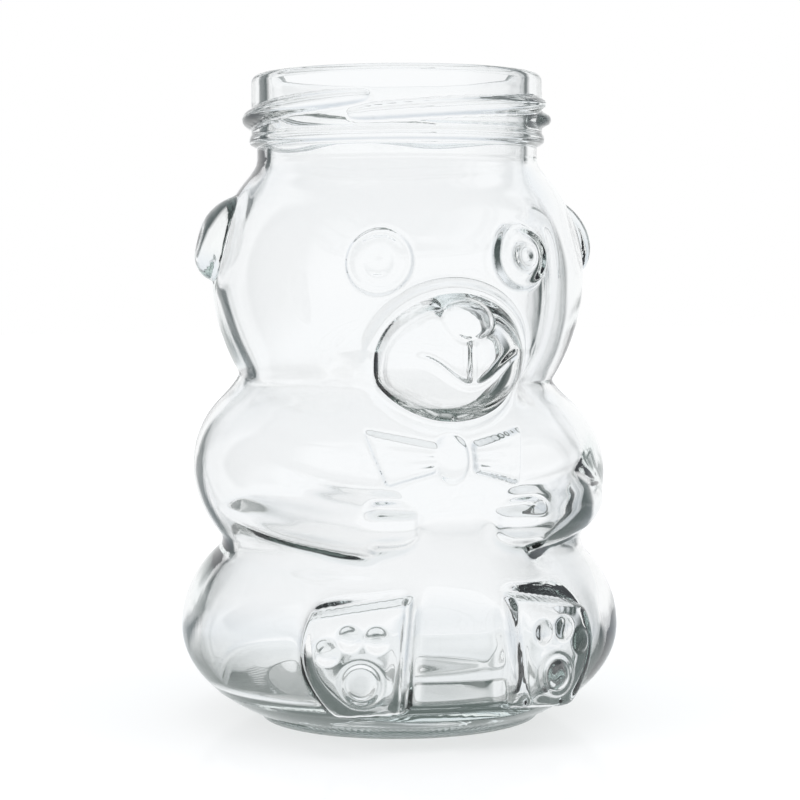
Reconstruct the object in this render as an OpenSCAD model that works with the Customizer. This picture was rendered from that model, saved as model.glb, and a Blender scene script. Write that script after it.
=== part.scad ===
// Bear shaped honey jar: one moulding of clear glass with a wide, lugged mouth.
// +Z is up, the bear looks along -Y, and the origin is the middle of the face it stands on.
// Angles go round the jar from the bear's nose towards its own left side, which is at +X.
// The body is turned from three round lobes. Every other form is raised on it: a solid that
// lies on the surface under it and meets that surface face to face.

/* [Body lobes] */
// Largest radius of the lap, the lowest lobe
lap_r = 37.2; // [36.2:0.1:38.2]
// Height of the lap's largest radius, as a share of the body's height
lap_share = 0.1668; // [0.158:0.001:0.176]
// Radius of the arc from the lap up to the waist
lap_arc = 17.2; // [16.4:0.1:18.2]
// How far the heel draws in from the lap's largest radius to the floor
heel_in = 18.2; // [16:0.1:20]
// Roundness of the heel's curve: 0.5 is an oval, and more is fuller near the floor
heel_power = 0.62; // [0.5:0.01:0.75]
// How much smaller than the lap's the largest radius of the torso is, the middle lobe
torso_in = 2.2; // [1.2:0.1:3.2]
// Height of the torso's largest radius, as a share of the body's height
torso_share = 0.4524; // [0.445:0.001:0.46]
// Radius of the arc from the torso down to the waist
torso_low_arc = 16.5; // [15.8:0.1:17.5]
// Radius of the arc from the torso up to the throat
torso_high_arc = 15.6; // [15:0.1:16.4]
// How much smaller than the lap's the largest radius of the head is, the top lobe
head_in = 5.7; // [4.9:0.1:6.4]
// Height of the head's largest radius, as a share of the body's height
head_share = 0.8032; // [0.794:0.001:0.812]
// Radius of the arc from the head down to the throat
head_low_arc = 33.4; // [31:0.1:36]
// Width of the soft crease at the waist
waist_blend = 5.8; // [4:0.1:7]
// Width of the soft crease at the throat
throat_blend = 6.2; // [4.5:0.1:7.5]
// How far the head's curve would pass inside the neck, if no fillet led it out
crown_dip = 0.8; // [0.4:0.1:1.6]
// Width of the soft fillet under the neck
neck_blend = 2; // [1:0.1:3]

/* [Glass] */
// Thickness of the body's wall
wall = 2.7; // [2.2:0.1:3.2]
// Thickness of the muzzle's wall
muzzle_wall = 2.8; // [2.2:0.1:3.4]
// Height of the floor of the cavity
floor_z = 5; // [4:0.1:6]
// Height at which the thick base ends and the wall starts
base_top = 8; // [7:0.1:9.5]
// Radius of the flat middle of the cavity's floor
floor_r = 25; // [22:0.1:27]
// Width of the ring that the jar stands on
ring_w = 3; // [2:0.1:4]
// Rise of the hollow under the base
push_up = 2.2; // [1.2:0.1:3]

/* [Finish] */
// Overall height of the jar
total_h = 108.6; // [106:0.1:111]
// Height of the finish, from the shoulder to the rim
finish_h = 15.1; // [14.6:0.1:15.6]
// Radius of the neck where the finish starts
neck_r = 23.9; // [23.4:0.1:24.3]
// Radius of the bore through the mouth
bore_r = 21.6; // [21:0.1:22]
// Radius of the plain land that carries the lugs
land_r = 24.6; // [24.4:0.1:24.9]
// Radius over the transfer bead under the lugs
bead_r = 25; // [24.9:0.1:25.5]
// Height of the bead's middle over the start of the finish
bead_up = 4; // [3.6:0.1:4.2]
// Height of the bead along the neck
bead_w = 2; // [1.6:0.1:2.4]
// Radius of the rim's two rounded edges
rim_round = 1.2; // [0.8:0.1:1.3]

/* [Thread lugs] */
// Number of lugs round the finish
lug_count = 4; // [3:1:6]
// Radius over the lugs
lug_r = 26.2; // [25.9:0.1:26.6]
// Height of a lug's ridge
lug_w = 2.6; // [2.2:0.1:3]
// Height of the low end of a lug's middle over the start of the finish
lug_low = 7; // [6.8:0.1:7.5]
// Rise of a lug from its low end to its high end
lug_rise = 2.9; // [2.6:0.1:3.3]
// Angle that a lug spans, as a share of the angle from one lug to the next
lug_share = 1.09; // [0.8:0.01:1.12]
// Angle of the low end of the first lug
lug_start = -33; // [-60:1:60]

/* [Ears] */
// Angle of the middle of an ear from the nose
ear_angle = 94; // [88:1:100]
// Height of the middle of an ear over the head's largest radius
ear_up = 6.1; // [5.4:0.1:6.6]
// Width of an ear round the head
ear_w = 15; // [12:0.1:17]
// Height of an ear
ear_h = 14; // [12.5:0.1:15]
// How far an ear stands out
ear_lift = 3.7; // [2.6:0.1:4.8]

/* [Face] */
// How far the face stands out of the round head
face_out = 2.3; // [1.6:0.1:3]
// Depth of the middle of the face under the head's largest radius
face_down = 4.1; // [3:0.1:5]
// Height over and under its middle up to which the face is full
face_flat_h = 8; // [6:0.5:10]
// Height over and under its middle at which the face has faded out
face_fade_h = 15; // [13:0.5:17]
// Angle up to which the face is full
face_flat_angle = 24; // [22:0.5:26]
// Angle at which the face has faded out
face_side_angle = 42; // [38:0.5:46]
// Angle of the middle of an eye from the nose
eye_angle = 19.5; // [19:0.1:21.5]
// Height of the eyes over the head's largest radius
eye_up = 2.3; // [2:0.1:4]
// Outer radius of an eye
eye_r = 5.4; // [4.8:0.1:5.7]
// Radius of a pupil
pupil_r = 2.3; // [1.8:0.1:2.6]
// How far the rim of an eye stands out
eye_lift = 1.8; // [1.2:0.1:2.4]
// Depth of the dish inside the rim of an eye
eye_dish = 0.5; // [0.2:0.1:0.8]
// How far a pupil stands out of the dish
pupil_lift = 0.9; // [0.5:0.1:1.2]
// Depth of the middle of the muzzle under the head's largest radius
muzzle_down = 12.5; // [12:0.1:13.2]
// How far the muzzle stands out in front of the head's largest radius
muzzle_out = 10.7; // [9.5:0.1:12]
// Half depth of the oval ball that the muzzle is part of
muzzle_d = 17.2; // [16.6:0.1:18]
// Width of the muzzle
muzzle_w = 27.2; // [26.4:0.1:28.4]
// Height of the muzzle
muzzle_h = 23.2; // [22.4:0.1:23.8]
// Height of the nose over the middle of the muzzle
nose_up = 5.5; // [5:0.1:6]
// Width of the nose
nose_w = 7.4; // [6.4:0.1:8.4]
// Height of the nose
nose_h = 6.2; // [5.4:0.1:6.6]
// How far the nose stands out
nose_lift = 2.2; // [1.4:0.1:3]
// Width of the mouth
mouth_w = 16.6; // [14:0.1:18]
// Depth of the lowest point of the mouth under the middle of the muzzle
mouth_down = 3.7; // [3.3:0.1:4.4]
// Height of the mouth's corners over its lowest point
smile = 4.5; // [3.4:0.1:5.4]
// Width of the mouth's line
line_w = 1.1; // [0.8:0.1:1.4]
// How far the mouth's line stands out
line_lift = 0.6; // [0.4:0.1:0.9]

/* [Bow tie] */
// Height of the middle of the bow over the torso's largest radius
bow_up = 4.4; // [4:0.1:4.8]
// Angle of the top corner of the wing on the bear's right
bow_top_angle = 22.5; // [20:0.1:24.5]
// Angle of the top corner of the wing on the bear's left
bow_left_top_angle = 18; // [16.5:0.1:22]
// Angle of the bottom corners of both wings
bow_low_angle = 17.2; // [15:0.1:19]
// Height of the outer end of a wing
bow_h = 8.5; // [7.8:0.1:9]
// Height of a wing where it meets the knot
bow_waist = 4.3; // [3.4:0.1:5]
// How far the wings stand out
bow_lift = 1.1; // [0.7:0.1:1.5]
// Width of the knot
knot_w = 5.2; // [4.6:0.1:6]
// Height of the knot
knot_h = 7; // [6:0.1:7.6]
// How far the knot stands out
knot_lift = 1.7; // [1.2:0.1:2.2]

/* [Belly] */
// How far the belly's front stays inside the lap's largest radius
belly_in = 0.3; // [0.1:0.1:0.8]
// Height of the belly's foremost place over the lap's largest radius
belly_up = 6.4; // [5.4:0.1:7.4]
// Radius of the belly's flat curve from lap to chest
belly_arc = 110; // [90:1:140]
// Angle up to which the belly is full
belly_flat_angle = 9; // [6:0.5:12]
// Angle at which the belly has faded out
belly_side_angle = 40; // [36:0.5:46]

/* [Arms] */
// Angle at which the underside of an arm starts to stand out of the torso
shoulder_angle = 78; // [74:0.5:84]
// Angle at which the top of an arm starts to stand out
upper_arm_angle = 58; // [54:0.5:66]
// Angle of the tip of the finger
hand_angle = 10; // [9:0.1:11.5]
// How much further round the thumb and the heel of the hand end
thumb_back_angle = 3.4; // [2:0.1:4.5]
// Depth of the middle of the hand under the torso's largest radius
hand_down = 6.2; // [5.8:0.1:6.6]
// Height of the hand
hand_h = 10.8; // [10.2:0.1:11.4]
// Height of the middle of the shoulder over the middle of the hand
shoulder_up = 7.4; // [6.4:0.1:8.4]
// Height of the arm at the shoulder
shoulder_h = 16; // [14:0.1:17]
// How far the back of the hand stands out of the torso's largest radius
hand_out = 3.9; // [3:0.1:4.8]
// Depth of the two gaps beside the finger
gap_d = 2.2; // [1:0.1:2.8]
// Width of a gap beside the finger
gap_w = 1.7; // [1.2:0.1:2.2]
// Height from the middle of one gap to the middle of the other
finger_h = 6.9; // [6.2:0.1:7.4]

/* [Feet] */
// Angle that the soles are turned out
sole_angle = 24; // [22:0.5:28]
// How far the middle of a sole stands out of the lap's largest radius
sole_out = 2.8; // [2.2:0.1:3.6]
// How much a sole leans back for each mm of height
sole_lean = 0.07; // [0:0.01:0.12]
// Distance of a sole's inner edge from its own centre line, at half height
sole_in_t = 7.4; // [6.6:0.1:8.4]
// How much further in the top of that edge is, and how much less its foot
sole_in_slant = 0.8; // [0:0.1:1.4]
// Distance of a sole's outer edge from its own centre line, at half height
sole_out_t = 10; // [9:0.1:10.8]
// How much further out the top of that edge is than its foot, halved
sole_out_slant = 1.9; // [1:0.1:2.4]
// How much nearer the outer edge's two corners are
sole_bulge = 3.1; // [1:0.1:4]
// Height of a sole at its inner edge
sole_h = 18; // [17:0.1:18.8]
// How much lower the outer edge is
sole_drop = 2; // [1:0.1:2.4]
// Share of its height that a sole loses towards the outer edge
sole_taper = 0.1; // [0:0.01:0.2]
// Height of the middle of a sole's inner edge over the lap's largest radius
sole_up = 0.3; // [0:0.1:0.8]
// Radius of the large paw pad
pad_r = 3.7; // [3.2:0.1:4]
// Distance of the large pad from the sole's centre line
pad_t = -0.6; // [-1.4:0.1:0.4]
// Depth of the large pad under the middle of the sole's inner edge
pad_down = 4; // [3.6:0.1:4.4]
// Radius of a toe pad
toe_r = 1.9; // [1.5:0.1:2]
// Distance of the toe pads from the middle of the large pad
toe_reach = 7.3; // [6.9:0.1:7.6]
// Angle from one toe pad to the next, seen from the large pad
toe_step = 34; // [32:1:37]
// Lean of the middle toe pad towards the foot's outer side
toe_lean = 15; // [10:1:20]
// How far the pads stand out
pad_lift = 1; // [0.6:0.1:1.3]

/* [Hidden] */

glass = [0.80, 0.88, 0.86];
relief_glass = [0.62, 0.78, 0.76];
line_glass = [0.45, 0.64, 0.63];

$fn = 96;
// Height of one step of the turned walls
turn_step = 1.5;
// Steps of a rounded edge
edge_steps = 8;
// Halvings in a search for the place where two surfaces cross
search_steps = 24;

// Heights and places that follow from the sizes above
finish_z = total_h - finish_h;
lap_z = finish_z * lap_share;
torso_z = finish_z * torso_share;
head_z = finish_z * head_share;
foot_r = lap_r - heel_in;
torso_r = lap_r - torso_in;
head_r = lap_r - head_in;
ring_in_r = foot_r - ring_w;
belly_z = lap_z + belly_up;
muzzle_z = head_z - muzzle_down;
muzzle_y = head_r + muzzle_out - muzzle_d;
nose_z = muzzle_z + nose_up;
mouth_z = muzzle_z - mouth_down;
bow_z = torso_z + bow_up;
hand_z = torso_z - hand_down;
face_z = head_z - face_down;
sole_z = lap_z + sole_up;
sole_r = lap_r + sole_out;
lug_z = finish_z + lug_low;
bead_z = finish_z + bead_up;

// Radius of the arc that falls away by drop over the height rise and starts upright
function arc_through(drop, rise) = (drop * drop + rise * rise) / (2 * drop);
crown_arc = arc_through(head_r - neck_r + crown_dip, finish_z - head_z);

// The larger of two values, with a soft change over the width k
function soft_max(a, b, k) = let (h = max(k - abs(a - b), 0) / k) max(a, b) + h * h * k / 4;

// 1 up to the value near, 0 from the value far, with a soft change between them
function fade(x, near, far) = let (s = min(max((far - x) / (far - near), 0), 1)) s * s * (3 - 2 * s);

// Value between low and high at which f turns from negative to positive
function crossing(f, low, high, steps = search_steps) =
    let (mid = (low + high) / 2)
    steps == 0 ? mid
    : f(mid) > 0 ? crossing(f, low, mid, steps - 1)
    : crossing(f, mid, high, steps - 1);

// Radius of one round lobe at height z
function lobe(z, r, mid, low, high) =
    let (q = z < mid ? low : high, d = abs(z - mid))
    d < q ? r - q + sqrt(q * q - d * d) : r - q - 2 * (d - q);
// The lap's lobe, with the heel under it
function lap_lobe(z) =
    z < lap_z
    ? foot_r + heel_in * pow(max(1 - pow((lap_z - z) / lap_z, 2), 0), heel_power)
    : lobe(z, lap_r, lap_z, lap_arc, lap_arc);
function torso_lobe(z) = lobe(z, torso_r, torso_z, torso_low_arc, torso_high_arc);
function head_lobe(z) = lobe(z, head_r, head_z, head_low_arc, crown_arc);

// The three lobes with their creases, and the outer radius of the turned body at height z: near
// its top the body runs into a plain neck, which lies neck_in inside the finish
function lobes_r(z) =
    soft_max(soft_max(lap_lobe(z), torso_lobe(z), waist_blend), head_lobe(z), throat_blend);
neck_in = 0.25;
function body_r(z) = soft_max(lobes_r(z), neck_r - neck_in, neck_blend);

// The creases at which the turned walls are divided
waist_z = crossing(function (z) torso_lobe(z) - lap_lobe(z), lap_z, torso_z);
throat_z = crossing(function (z) head_lobe(z) - torso_lobe(z), torso_z, head_z);

// Point at radius r, angle a and height z
function at(r, a, z) = [r * sin(a), -r * cos(a), z];
// Angle of a point round the jar
function angle_of(p) = atan2(p.x, -p.y);
// Angle that a length w takes up on the body at height z
function turn_of(w, z) = w / body_r(z) * 180 / PI;

// Radius of the belly's front at height z
function belly_r(z) = lap_r - belly_in - pow(z - belly_z, 2) / (2 * belly_arc);
// Radius of the body with the belly and the face on it
function front_r(a, z) =
    body_r(z)
    + max(belly_r(z) - body_r(z), 0) * fade(abs(a), belly_flat_angle, belly_side_angle)
    + face_out * fade(abs(z - face_z), face_flat_h, face_fade_h)
               * fade(abs(a), face_flat_angle, face_side_angle);
belly_low = crossing(function (z) belly_r(z) - body_r(z), lap_z, waist_z);
belly_high = crossing(function (z) body_r(z) - belly_r(z), waist_z, torso_z + torso_high_arc / 3);

// The square -1..1 by -1..1 is mapped to a round disc: distance from its middle and direction
function ring_of(u, v) = max(abs(u), abs(v));
function turn_in(u, v) =
    ring_of(u, v) == 0 ? 0
    : abs(u) > abs(v) ? (u > 0 ? 0 : 180) + 45 * v / u
    : (v > 0 ? 90 : 270) - 45 * u / v;
function disc(u, v) = ring_of(u, v) * [cos(turn_in(u, v)), sin(turn_in(u, v))];
// The same disc, with its rings closer together near the edge
function dome_disc(u, v) = sin(90 * ring_of(u, v)) * [cos(turn_in(u, v)), sin(turn_in(u, v))];

// Height of a round dome, of a narrow ridge and of a plateau, at x from -1 to 1
function dome(x) = sqrt(max(1 - x * x, 0));
function ridge(x) = abs(x) < 1 ? pow(cos(90 * x), 2) : 0;
function plateau(x, power = 8) = pow(max(1 - pow(abs(x), power), 0), 1 / power);

// Closed solid between two surfaces, which are functions of u and v from -1 to 1. They meet
// along the square's edge, where the upper one counts. u goes to the right and v up, seen
// from outside. columns and rows are even.
module cushion(upper, lower, columns, rows) {
    function u_at(i) = 2 * i / columns - 1;
    function v_at(j) = 2 * j / rows - 1;
    function top(i, j) = i * (rows + 1) + j;
    function on_edge(i, j) = i == 0 || j == 0 || i == columns || j == rows;
    inner_start = (columns + 1) * (rows + 1);
    function under(i, j) = on_edge(i, j) ? top(i, j) : inner_start + (i - 1) * (rows - 1) + j - 1;
    function same_half(i, j) = (i < columns / 2) == (j < rows / 2);
    function halves(a, b, c, d, straight) = straight ? [[a, b, c], [a, c, d]] : [[a, b, d], [b, c, d]];

    points = concat(
        [for (i = [0:columns]) for (j = [0:rows]) upper(u_at(i), v_at(j))],
        [for (i = [1:columns - 1]) for (j = [1:rows - 1]) lower(u_at(i), v_at(j))]);
    faces = [for (i = [0:columns - 1]) for (j = [0:rows - 1])
        each concat(
            halves(top(i, j), top(i, j + 1), top(i + 1, j + 1), top(i + 1, j), same_half(i, j)),
            [for (t = halves(under(i, j), under(i, j + 1), under(i + 1, j + 1), under(i + 1, j),
                             same_half(i, j))) [t[2], t[1], t[0]]])];
    polyhedron(points, faces);
}

// The same form on the bear's other side
module other_side() {
    mirror([1, 0, 0]) children();
}

// Closed turned wall between two heights
module turned_wall(low, high) {
    steps = ceil((high - low) / turn_step);
    heights = [for (i = [0:steps]) low + (high - low) * i / steps];
    rotate_extrude()
        polygon(concat(
            [for (z = heights) [body_r(z), z]],
            [for (i = [steps:-1:0]) [body_r(heights[i]) - wall, heights[i]]]));
}

// Finish: the ring of the mouth, with its bead, land and rounded rim
module finish() {
    rim_z = total_h - rim_round;
    neck_dip = 0.2;
    color(glass) rotate_extrude()
        polygon(concat(
            [[bore_r, finish_z], [neck_r, finish_z], [neck_r - neck_dip, bead_z - bead_w * 0.8]],
            [for (i = [0:edge_steps]) let (a = 180 * i / edge_steps)
                let (root = i < edge_steps / 2 ? neck_r - neck_dip : land_r)
                [root + (bead_r - root) * sin(a), bead_z - bead_w / 2 * cos(a)]],
            [for (i = [0:edge_steps]) let (a = 90 * i / edge_steps)
                [land_r - rim_round * (1 - cos(a)), rim_z + rim_round * sin(a)]],
            [for (i = [0:edge_steps]) let (a = 90 * i / edge_steps)
                [bore_r + rim_round * (1 - sin(a)), rim_z + rim_round * cos(a)]]));
}

// One lug: a ridge that climbs round the land and fades at both ends
module thread_lug() {
    span = 360 / lug_count * lug_share;
    narrow_end = 0.3;
    function angle(u) = lug_start + span * (u + 1) / 2;
    function height(u, v) =
        lug_z + lug_rise * (u + 1) / 2
        + lug_w / 2 * sin(90 * v) * (narrow_end + (1 - narrow_end) * dome(pow(u, 3)));
    function lift(u, v) = (lug_r - land_r) * pow(cos(90 * v), 0.7) * dome(pow(u, 5));
    cushion(function (u, v) at(land_r + lift(u, v), angle(u), height(u, v)),
            function (u, v) at(land_r, angle(u), height(u, v)), 36, 6);
}

module thread_lugs() {
    color(relief_glass)
        for (i = [0:lug_count - 1])
            rotate([0, 0, 360 / lug_count * i]) thread_lug();
}

// Outline of the way into the hollow muzzle, where its inside meets the face
module muzzle_way() {
    sides = 36;
    rotate([90, 0, 0])
        linear_extrude(2 * head_r)
            polygon([for (i = [0:sides - 1])
                let (p = muzzle_root(360 / sides * i, -muzzle_wall)) [p.x, p.z]]);
}

// Head: the turned wall from the throat to the finish, open into the muzzle
module head_shell() {
    color(glass) difference() {
        turned_wall(throat_z, finish_z);
        muzzle_way();
    }
}

// Torso: the turned wall from the waist to the throat, open into the muzzle's chin
module torso_shell() {
    color(glass) difference() {
        turned_wall(waist_z, throat_z);
        muzzle_way();
    }
}

// Lap: the turned wall from the base to the waist
module lap_shell() {
    color(glass) turned_wall(base_top, waist_z);
}

// Base: the thick foot of the jar, with the ring it stands on and the hollow inside that ring
module base() {
    heel_steps = 10;
    dome_steps = 8;
    inner_r = body_r(base_top) - wall;
    color(glass) rotate_extrude()
        polygon(concat(
            [for (i = [0:dome_steps]) let (r = ring_in_r * i / dome_steps)
                [r, push_up * (1 - pow(r / ring_in_r, 2))]],
            [for (i = [0:heel_steps]) let (z = base_top * pow(i / heel_steps, 2)) [body_r(z), z]],
            [for (i = [0:edge_steps]) let (a = 90 * i / edge_steps)
                [floor_r + (inner_r - floor_r) * cos(a), base_top - (base_top - floor_z) * sin(a)]],
            [[0, floor_z]]));
}

// Form between two heights that fades out at the angle side_angle: from the turned body to the front
module filled_front(low, high, side_angle, columns, rows) {
    function angle(u) = side_angle * u;
    function height(v) = low + (high - low) * (v + 1) / 2;
    cushion(function (u, v) at(front_r(angle(u), height(v)), angle(u), height(v)),
            function (u, v) at(body_r(height(v)), angle(u), height(v)), columns, rows);
}

// Belly: fills the crease of the waist in front, from the lap up to the chest
module belly() {
    columns = 24;
    rows = 14;
    color(relief_glass) filled_front(belly_low, belly_high, belly_side_angle, columns, rows);
}

// Face: the full front of the head, open into the muzzle
module face() {
    columns = 28;
    rows = 20;
    color(relief_glass) difference() {
        filled_front(face_z - face_fade_h, face_z + face_fade_h, face_side_angle, columns, rows);
        muzzle_way();
    }
}

// Oval form on the body: lift is how far it stands out at a place of the unit disc
module raised_oval(angle, z, w, h, disc_of, lift, rings) {
    function place(d) =
        let (height = z + h / 2 * d.y, a = angle + turn_of(w / 2 * d.x, height))
        [front_r(a, height), a, height];
    cushion(function (u, v) let (d = disc_of(u, v), p = place(d)) at(p[0] + lift(d), p[1], p[2]),
            function (u, v) let (p = place(disc_of(u, v))) at(p[0], p[1], p[2]), 2 * rings, 2 * rings);
}

// Ear: a round bulge with a shallow dish in its face
module ear() {
    dish = 0.25;
    dish_r = 0.6;
    color(relief_glass)
        raised_oval(ear_angle, head_z + ear_up, ear_w, ear_h, function (u, v) dome_disc(u, v),
                    function (d) ear_lift * (dome(norm(d)) - dish * ridge(norm(d) / dish_r)), 7);
}

module left_ear() {
    ear();
}

module right_ear() {
    other_side() ear();
}

// Eye: a raised disc, dished inside its rim, with a domed pupil in the dish
module eye() {
    rings = 8;
    rim_at = 1 - 1 / rings;
    color(line_glass)
        raised_oval(eye_angle, head_z + eye_up, 2 * eye_r, 2 * eye_r, function (u, v) disc(u, v),
                    function (d) (eye_lift - eye_dish * fade(norm(d), rim_at - 2 / rings, rim_at))
                               * fade(norm(d), rim_at, 1)
                               + pupil_lift * dome(norm(d) * eye_r / pupil_r), rings);
}

module left_eye() {
    eye();
}

module right_eye() {
    other_side() eye();
}

// Point of the oval ball of the muzzle: tip is the angle away from straight ahead, turn goes
// round that direction, and grow makes the ball larger
function muzzle_ball(turn, tip, grow) =
    [(muzzle_w / 2 + grow) * sin(tip) * cos(turn),
     -muzzle_y - (muzzle_d + grow) * cos(tip),
     muzzle_z + (muzzle_h / 2 + grow) * sin(tip) * sin(turn)];
function inside_body(p) = front_r(angle_of(p), p.z) - norm([p.x, p.y]);
// The ball's root on the body lies between these two angles away from straight ahead
tip_low = 20;
tip_high = 110;
function muzzle_root_tip(turn, grow) =
    crossing(function (tip) inside_body(muzzle_ball(turn, tip, grow)), tip_low, tip_high);
function muzzle_root(turn, grow) = muzzle_ball(turn, muzzle_root_tip(turn, grow), grow);
// Y of the muzzle's outer face in front of the point x, z
function muzzle_face(x, z) =
    -muzzle_y - muzzle_d * sqrt(1 - pow(2 * x / muzzle_w, 2) - pow(2 * (z - muzzle_z) / muzzle_h, 2));

// Muzzle: a hollow oval dome that stands on the head and the chest
module muzzle() {
    rings = 12;
    hollow_rings = 10;
    hollow = hollow_rings / rings;
    function seat(p) = at(front_r(angle_of(p), p.z), angle_of(p), p.z);
    function inside(ring, turn) =
        ring < hollow
        ? muzzle_ball(turn, ring / hollow * muzzle_root_tip(turn, -muzzle_wall), -muzzle_wall)
        : let (s = (ring - hollow) / (1 - hollow))
          seat(muzzle_root(turn, -muzzle_wall) * (1 - s) + muzzle_root(turn, 0) * s);
    color(relief_glass)
        cushion(function (u, v) let (turn = turn_in(u, v))
                    muzzle_ball(turn, ring_of(u, v) * muzzle_root_tip(turn, 0), 0),
                function (u, v) inside(ring_of(u, v), turn_in(u, v)), 2 * rings, 2 * rings);
}

// Nose: a round knob high on the muzzle
module nose() {
    function place(d) = let (x = nose_w / 2 * d.x, z = nose_z + nose_h / 2 * d.y) [x, muzzle_face(x, z), z];
    color(line_glass)
        cushion(function (u, v) let (d = dome_disc(u, v)) place(d) - [0, nose_lift * dome(norm(d)), 0],
                function (u, v) place(dome_disc(u, v)), 12, 12);
}

// Height of the smile's line at x
function smile_z(x) = mouth_z + smile * (1 - cos(360 * x / mouth_w)) / 2;

// Mouth: the curved line of the smile, and the short line from the nose down to it
module mouth() {
    gap = 0.1;
    fall_low = mouth_z + line_w / 2 + gap;
    fall_high = nose_z - nose_h / 2 - gap;
    function on_face(x, z, lift) = [x, muzzle_face(x, z) - lift, z];
    function smile_at(u, v, lift) =
        let (x = mouth_w / 2 * u) on_face(x, smile_z(x) + line_w / 2 * v, lift);
    function fall_at(u, v, lift) =
        on_face(line_w / 2 * u, fall_low + (fall_high - fall_low) * (v + 1) / 2, lift);
    color(line_glass) {
        cushion(function (u, v) smile_at(u, v, line_lift * dome(v) * dome(pow(u, 5))),
                function (u, v) smile_at(u, v, 0), 28, 4);
        cushion(function (u, v) fall_at(u, v, line_lift * dome(u) * dome(pow(v, 5))),
                function (u, v) fall_at(u, v, 0), 4, 10);
    }
}

// Wing of the bow: it widens from the knot to its outer end
module bow_wing(top_angle) {
    gap = 0.15;
    knot_angle = turn_of(knot_w / 2 + gap, bow_z);
    function place(u, v) =
        let (s = (sin(90 * u) + 1) / 2, t = sin(90 * v),
             end_angle = bow_low_angle + (top_angle - bow_low_angle) * (t + 1) / 2,
             a = knot_angle + (end_angle - knot_angle) * s,
             z = bow_z + t * (bow_waist + (bow_h - bow_waist) * s) / 2)
        [front_r(a, z), a, z];
    function lift(u, v) = bow_lift * plateau(sin(90 * u)) * plateau(sin(90 * v));
    cushion(function (u, v) let (p = place(u, v)) at(p[0] + lift(u, v), p[1], p[2]),
            function (u, v) let (p = place(u, v)) at(p[0], p[1], p[2]), 12, 10);
}

// Bow tie: two wings and the knot between them
module bow_tie() {
    color(line_glass) {
        bow_wing(bow_left_top_angle);
        other_side() bow_wing(bow_top_angle);
        raised_oval(0, bow_z, knot_w, knot_h, function (u, v) dome_disc(u, v),
                    function (d) knot_lift * dome(norm(d)), 5);
    }
}

// Arm: it comes out of the torso at the shoulder and ends in the hand on the belly
module arm() {
    wrist_angle = 26;
    gap_root_angle = 21;
    tip_share = 0.6;
    finger_down = 1;
    thin = 0.02;
    columns = 34;
    rows = 16;
    // Share of the way from the hand to the shoulder
    function back(u) = (1 - u) / 2;
    function tip_angle(v) = hand_angle + thumb_back_angle * (1 - fade(abs(v), 0.3, 0.55));
    function angle(u, v) = tip_angle(v) + (shoulder_angle - tip_angle(v)) * back(u);
    function middle(u) = hand_z + shoulder_up * pow(back(u), 2);
    function half(u) =
        (hand_h + (shoulder_h - hand_h) * pow(back(u), 2)) / 2
        * (tip_share + (1 - tip_share) * dome(pow(max(u, 0), 9)));
    function place(u, v) =
        let (z = middle(u) + half(u) * sin(90 * v), a = angle(u, v)) [front_r(a, z), a, z];
    // The arm's back: round at the hand, and level with the torso at the shoulder, high up first
    function back_lift(u, v, p) =
        let (out = hand_out * (tip_share + (1 - tip_share) * dome(pow(max(u, 0), 4))),
             end_angle = upper_arm_angle + (shoulder_angle - upper_arm_angle) * fade(p[2], hand_z, torso_z))
        max(torso_r + out - p[0], 0) * fade(p[1], wrist_angle, end_angle) * pow(cos(90 * v), 0.8);
    // The gaps above and below the finger, which fade out towards the wrist
    function gap(p) =
        gap_d * fade(p[1], gap_root_angle - 2, gap_root_angle + 2)
        * ridge((abs(p[2] - hand_z + finger_down) - finger_h / 2) / gap_w);
    function lift(u, v, p) = max(back_lift(u, v, p) - gap(p), thin * cos(90 * v)) * dome(pow(u, 11));
    color(relief_glass)
        cushion(function (u, v) let (p = place(-u, v)) at(p[0] + lift(-u, v, p), p[1], p[2]),
                function (u, v) let (p = place(-u, v)) at(p[0], p[1], p[2]), columns, rows);
}

module left_arm() {
    arm();
}

module right_arm() {
    other_side() arm();
}

// Point at distance r along the sole's normal, t to its outer side, and height z
function sole_point(r, t, z) =
    [r * sin(sole_angle) + t * cos(sole_angle), -r * cos(sole_angle) + t * sin(sole_angle), z];
// Distance of the sole from the axis at height z
function sole_level(z) = sole_r - sole_lean * (z - sole_z);
// Distance along the sole's normal at which the body's surface lies
function sole_seat(t, z) =
    let (r = sqrt(pow(body_r(z), 2) - t * t),
         front = front_r(angle_of(sole_point(r, t, z)), z))
    sqrt(front * front - t * t);

// Foot: a block with a flat sole, turned out, that grows out of the lap
module foot() {
    side_power = 5;
    steps = 16;
    function share(u) = (sin(90 * u) + 1) / 2;
    function side(u, v) =
        let (up = sin(90 * v),
             inner = -sole_in_t - sole_in_slant * up,
             outer = sole_out_t + sole_out_slant * up - sole_bulge * up * up)
        inner + (outer - inner) * share(u);
    function height(u, v) =
        sole_z - sole_drop * share(u) + sole_h / 2 * sin(90 * v) * (1 - sole_taper * share(u));
    function rise(u, v) = plateau(sin(90 * u), side_power) * plateau(sin(90 * v));
    color(relief_glass)
        cushion(function (u, v)
                    let (t = side(u, v), z = height(u, v), seat = sole_seat(t, z))
                    sole_point(seat + (sole_level(z) - seat) * rise(u, v), t, z),
                function (u, v)
                    let (t = side(u, v), z = height(u, v)) sole_point(sole_seat(t, z), t, z),
                steps, steps);
}

module left_foot() {
    foot();
}

module right_foot() {
    other_side() foot();
}

// One round pad on the sole
module pad(t, z, r, lift, disc_of, rings) {
    function place(d, lift) =
        let (height = z + r * d.y) sole_point(sole_level(height) + lift, t + r * d.x, height);
    cushion(function (u, v) let (d = disc_of(u, v)) place(d, lift(d)),
            function (u, v) place(disc_of(u, v), 0), 2 * rings, 2 * rings);
}

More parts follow.
